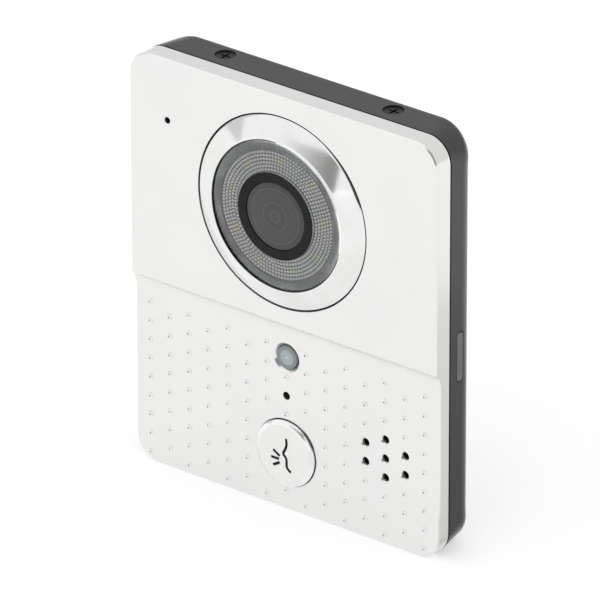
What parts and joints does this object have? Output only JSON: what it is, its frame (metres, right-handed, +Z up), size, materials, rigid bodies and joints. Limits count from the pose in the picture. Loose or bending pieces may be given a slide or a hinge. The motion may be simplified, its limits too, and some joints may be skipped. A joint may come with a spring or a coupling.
{
  "type": "video door station",
  "caption": "Flat wall-mounted video door station: stepped metal cover with ringed camera, dimpled lower half, speaker holes, sensor window and round call button.",
  "frame": {"origin": "centre of the housing's back face, the face that lies on the wall", "axes": "+Z up along the wall, +X to the viewer's right, +Y into the wall, so the front faces -Y"},
  "size_m": [0.1, 0.0201, 0.12],
  "materials": {
    "plate_white": "satin",
    "housing_grey": "satin",
    "seal_black": "matte",
    "plug_grey": "matte",
    "screw_black": "blackened",
    "screw_steel": "zinc plated",
    "bezel_polished": "polished",
    "window_clear": "clear",
    "lens_clear": "clear",
    "led_clear": "clear",
    "led_yellow": "satin",
    "black_plastic": "matte",
    "sensor_grey": "tinted",
    "light_pipe": "clear",
    "board_green": "satin",
    "board_white": "satin",
    "chip_dark": "gloss",
    "shield_tin": "tinned",
    "capacitor_black": "gloss",
    "terminal_green": "satin",
    "flex_amber": "gloss",
    "magnet_dark": "bare",
    "cone_paper": "matte",
    "mesh_black": "matte",
    "button_metal": "satin with a polished bevel",
    "spring_steel": "bare"
  },
  "bodies": {
    "station": {"front_plate": "plate_white", "rear_housing": "housing_grey", "case_gasket": "seal_black", "case_screws": "screw_black", "side_plug": "plug_grey", "cable_grommet": "seal_black", "camera_bezel": "bezel_polished", "bezel_seal": "seal_black", "window_seal": "seal_black", "camera_window": "window_clear", "led_lens_ring": "led_clear", "led_board": "board_white", "illumination_leds": "led_yellow", "lens_surround": "black_plastic", "front_lens": "lens_clear", "lens_barrel": "black_plastic", "rear_lens": "lens_clear", "lens_holder": "black_plastic", "image_sensor": "chip_dark", "camera_board": "board_green", "camera_carrier": "black_plastic", "carrier_screws": "screw_steel", "camera_board_screws": "screw_steel", "sensor_window": "sensor_grey", "light_sensor": "chip_dark", "indicator_lens": "light_pipe", "indicator_led": "led_yellow", "microphone": "shield_tin", "microphone_boot": "seal_black", "speaker_frame": "shield_tin", "speaker_magnet": "magnet_dark", "speaker_cone": "cone_paper", "speaker_gasket": "seal_black", "speaker_mesh": "mesh_black", "speaker_clamp": "black_plastic", "clamp_screws": "screw_steel", "main_board": "board_green", "board_screws": "screw_steel", "processor_shield": "shield_tin", "radio_module": "shield_tin", "power_capacitors": "capacitor_black", "terminal_block": "terminal_green", "terminal_screws": "screw_steel", "flex_connectors": "board_white", "camera_flex": "flex_amber", "button_seal": "seal_black", "button_guide": "black_plastic", "button_spring": "spring_steel", "switch_body": "black_plastic"},
    "button": {"call_button": "button_metal", "switch_plunger": "black_plastic"}
  },
  "joints": [
    {"name": "call_button_press", "type": "slide", "parent": "station", "child": "button", "axis": [0, 1, 0], "range_m": [0, 0.0005], "stiffness_N_per_m": 2000, "springref_m": -0.0005, "deforming": ["button_spring"]}
  ]
}
